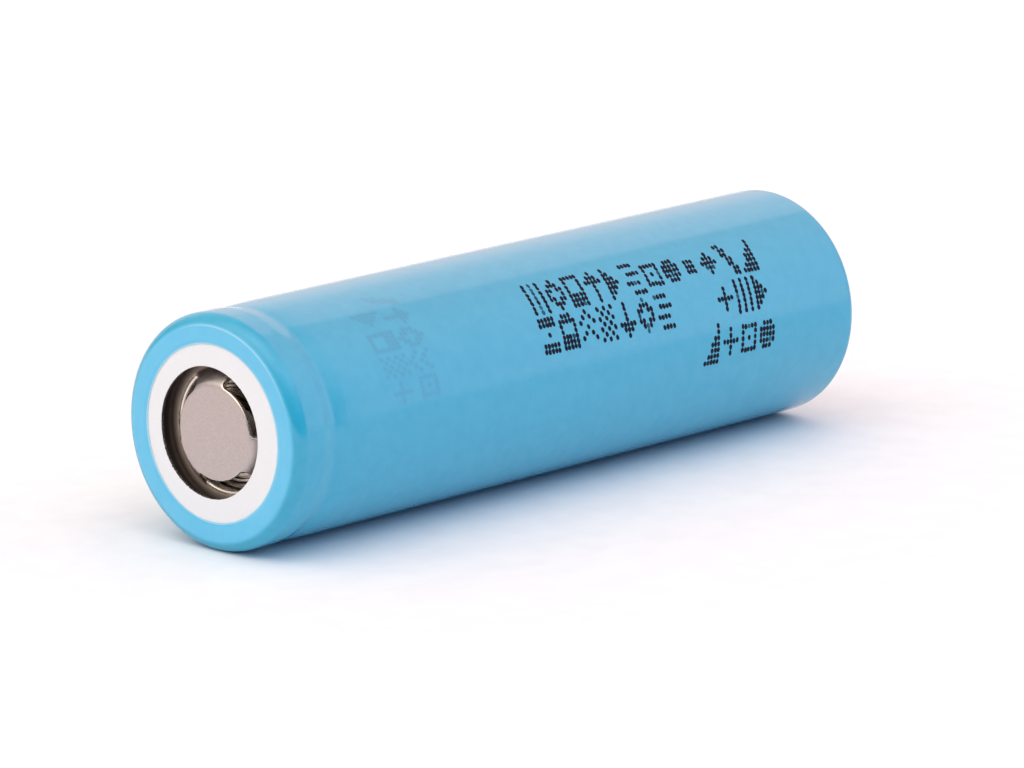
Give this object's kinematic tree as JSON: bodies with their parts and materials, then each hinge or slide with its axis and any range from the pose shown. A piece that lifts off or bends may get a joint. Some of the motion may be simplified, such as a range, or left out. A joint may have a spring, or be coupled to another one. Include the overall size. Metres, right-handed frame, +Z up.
{
  "type": "cylindrical lithium-ion cell",
  "caption": "Cylindrical lithium-ion cell in a shrink-film sleeve, with a beaded and crimped steel can, a recessed vented button terminal, and a wound electrode roll inside.",
  "frame": {"origin": "centre of the negative terminal, on the can's exposed floor", "axes": "+X runs along the cell's axis from the negative end towards the positive end; the cell lies on its side with +Z up"},
  "size_m": [0.0651, 0.0183, 0.0182],
  "materials": {
    "sleeve_film": "gloss",
    "washer_board": "matte",
    "can_steel": "satin",
    "gasket_plastic": "matte",
    "print_ink": "matte",
    "cap_nickel": "satin",
    "vent_aluminium": "satin",
    "diaphragm_aluminium": "satin",
    "ring_plastic": "matte",
    "support_aluminium": "satin",
    "plate_aluminium": "satin",
    "tab_aluminium": "satin",
    "tab_nickel": "satin",
    "tape_amber": "gloss",
    "tape_green": "gloss",
    "insulator_fibre": "matte",
    "cathode_coating": "matte",
    "anode_coating": "matte",
    "separator_film": "satin",
    "pin_steel": "satin"
  },
  "bodies": {
    "cell": {"heat_shrink_sleeve": "sleeve_film", "insulating_washer": "washer_board", "can": "can_steel", "crimp_gasket": "gasket_plastic", "positive_cap": "cap_nickel", "vent_disc": "vent_aluminium", "cid_insulator_ring": "ring_plastic", "cid_support_disc": "support_aluminium", "weld_plate": "plate_aluminium", "positive_tab": "tab_aluminium", "positive_tab_tape": "tape_amber", "negative_tab": "tab_nickel", "negative_tab_tape": "tape_amber", "upper_insulator": "insulator_fibre", "lower_insulator": "insulator_fibre", "cathode_sheet": "cathode_coating", "anode_sheet": "anode_coating", "separator_inner": "separator_film", "separator_outer": "separator_film", "roll_closing_tape": "tape_green", "center_pin": "pin_steel"},
    "vent_center": {"vent_diaphragm": "diaphragm_aluminium"}
  },
  "joints": [
    {"name": "vent_trip", "type": "slide", "parent": "cell", "child": "vent_center", "axis": [1, 0, 0], "range_m": [0, 0.0009]}
  ]
}
